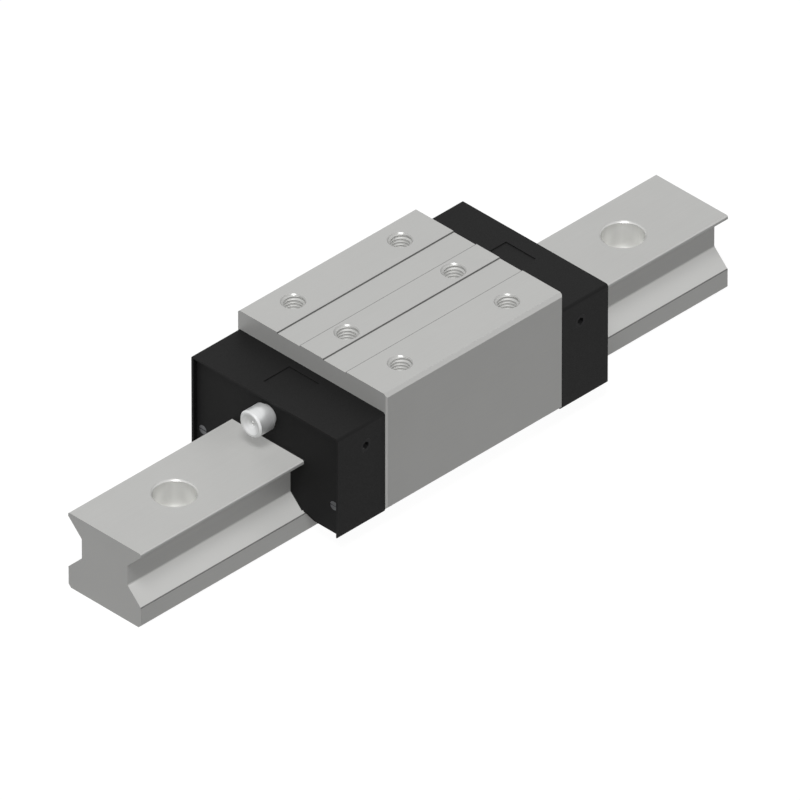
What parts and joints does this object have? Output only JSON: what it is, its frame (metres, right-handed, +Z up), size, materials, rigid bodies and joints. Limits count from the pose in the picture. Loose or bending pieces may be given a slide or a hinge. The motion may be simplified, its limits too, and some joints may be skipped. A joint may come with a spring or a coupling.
{
  "type": "roller linear guide",
  "caption": "Profiled steel guide rail with a sliding roller carriage, black end caps, end seals and a grease nipple, for guided straight motion under heavy load.",
  "frame": {"origin": "middle of the rail's underside, on the face it is bolted down on", "axes": "+X along the rail, away from the grease nipple; +Y across the rail; +Z up, out of the carriage's mounting face"},
  "size_m": [0.275, 0.07, 0.055],
  "materials": {
    "ground_steel": "ground and hardened, satin",
    "roller_steel": "superfinished",
    "cap_plastic": "moulded, fine matt texture",
    "guide_plastic": "moulded, smooth",
    "seal_rubber": "moulded, matt",
    "black_screw": "black oxide",
    "zinc_steel": "zinc plated, turned"
  },
  "bodies": {
    "rail": {"rail": "ground_steel"},
    "carriage": {"carriage_body": "ground_steel", "end_cap_front": "cap_plastic", "end_seal_front": "seal_rubber", "cap_screws_front": "black_screw", "seal_screws_front": "zinc_steel", "turn_guide_front_left": "guide_plastic", "turn_guide_front_right": "guide_plastic", "end_cap_rear": "cap_plastic", "end_seal_rear": "seal_rubber", "cap_screws_rear": "black_screw", "seal_screws_rear": "zinc_steel", "turn_guide_rear_left": "guide_plastic", "turn_guide_rear_right": "guide_plastic", "return_tube_upper_left": "guide_plastic", "rollers_upper_left": "roller_steel", "roller_spacers_upper_left": "guide_plastic", "return_tube_lower_left": "guide_plastic", "rollers_lower_left": "roller_steel", "roller_spacers_lower_left": "guide_plastic", "upper_retainer_left": "guide_plastic", "middle_retainer_left": "guide_plastic", "lower_retainer_left": "guide_plastic", "bottom_seal_left": "seal_rubber", "return_tube_upper_right": "guide_plastic", "rollers_upper_right": "roller_steel", "roller_spacers_upper_right": "guide_plastic", "return_tube_lower_right": "guide_plastic", "rollers_lower_right": "roller_steel", "roller_spacers_lower_right": "guide_plastic", "upper_retainer_right": "guide_plastic", "middle_retainer_right": "guide_plastic", "lower_retainer_right": "guide_plastic", "bottom_seal_right": "seal_rubber", "top_seal": "seal_rubber", "rear_port_plug": "black_screw", "side_port_plugs": "black_screw", "grease_nipple": "zinc_steel"},
    "nipple_ball": {"nipple_ball": "roller_steel"}
  },
  "joints": [
    {"name": "carriage_slide", "type": "slide", "parent": "rail", "child": "carriage", "axis": [1, 0, 0], "range_m": [-0.074, 0.074]},
    {"name": "nipple_ball_slide", "type": "slide", "parent": "carriage", "child": "nipple_ball", "axis": [1, 0, 0], "range_m": [0, 0.0008], "stiffness_N_per_m": 200, "springref_m": -0.001}
  ]
}
